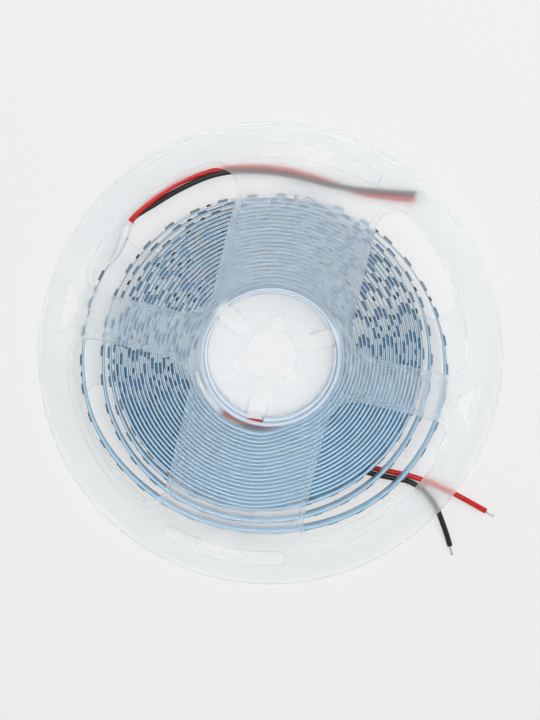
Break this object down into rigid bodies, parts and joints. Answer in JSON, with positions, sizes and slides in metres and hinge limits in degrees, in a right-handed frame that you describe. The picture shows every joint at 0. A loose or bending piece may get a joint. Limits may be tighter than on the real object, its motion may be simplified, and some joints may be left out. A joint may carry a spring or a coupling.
{
  "type": "led strip light reel",
  "caption": "Two-flange translucent plastic reel holding a roll of flexible LED strip, with a red and black lead pair on each end of the strip.",
  "frame": {"origin": "centre of the reel on the face that it lies on, the outer bead of the rear flange", "axes": "+Z along the reel's axis, from the rear flange to the front flange; +X to the right and +Y up as the front flange is seen in the picture"},
  "size_m": [0.132, 0.132, 0.0142],
  "materials": {
    "frosted_plastic": "frosted translucent natural plastic, satin",
    "led_strip": "white solder mask outwards, pale blue release tape inwards",
    "heat_shrink": "clear milky heat-shrink tube",
    "red_insulation": "satin red insulation",
    "black_insulation": "satin black insulation",
    "tinned_copper": "dull tinned strands"
  },
  "bodies": {
    "root": {"rear_flange": "frosted_plastic", "front_flange": "frosted_plastic", "led_strip": "led_strip", "outer_heat_shrink": "heat_shrink", "inner_heat_shrink": "heat_shrink", "outer_red_lead": "red_insulation", "outer_black_lead": "black_insulation", "inner_red_lead": "red_insulation", "inner_black_lead": "black_insulation", "outer_red_tip": "tinned_copper", "outer_black_tip": "tinned_copper", "inner_red_tip": "tinned_copper", "inner_black_tip": "tinned_copper"}
  },
  "joints": []
}
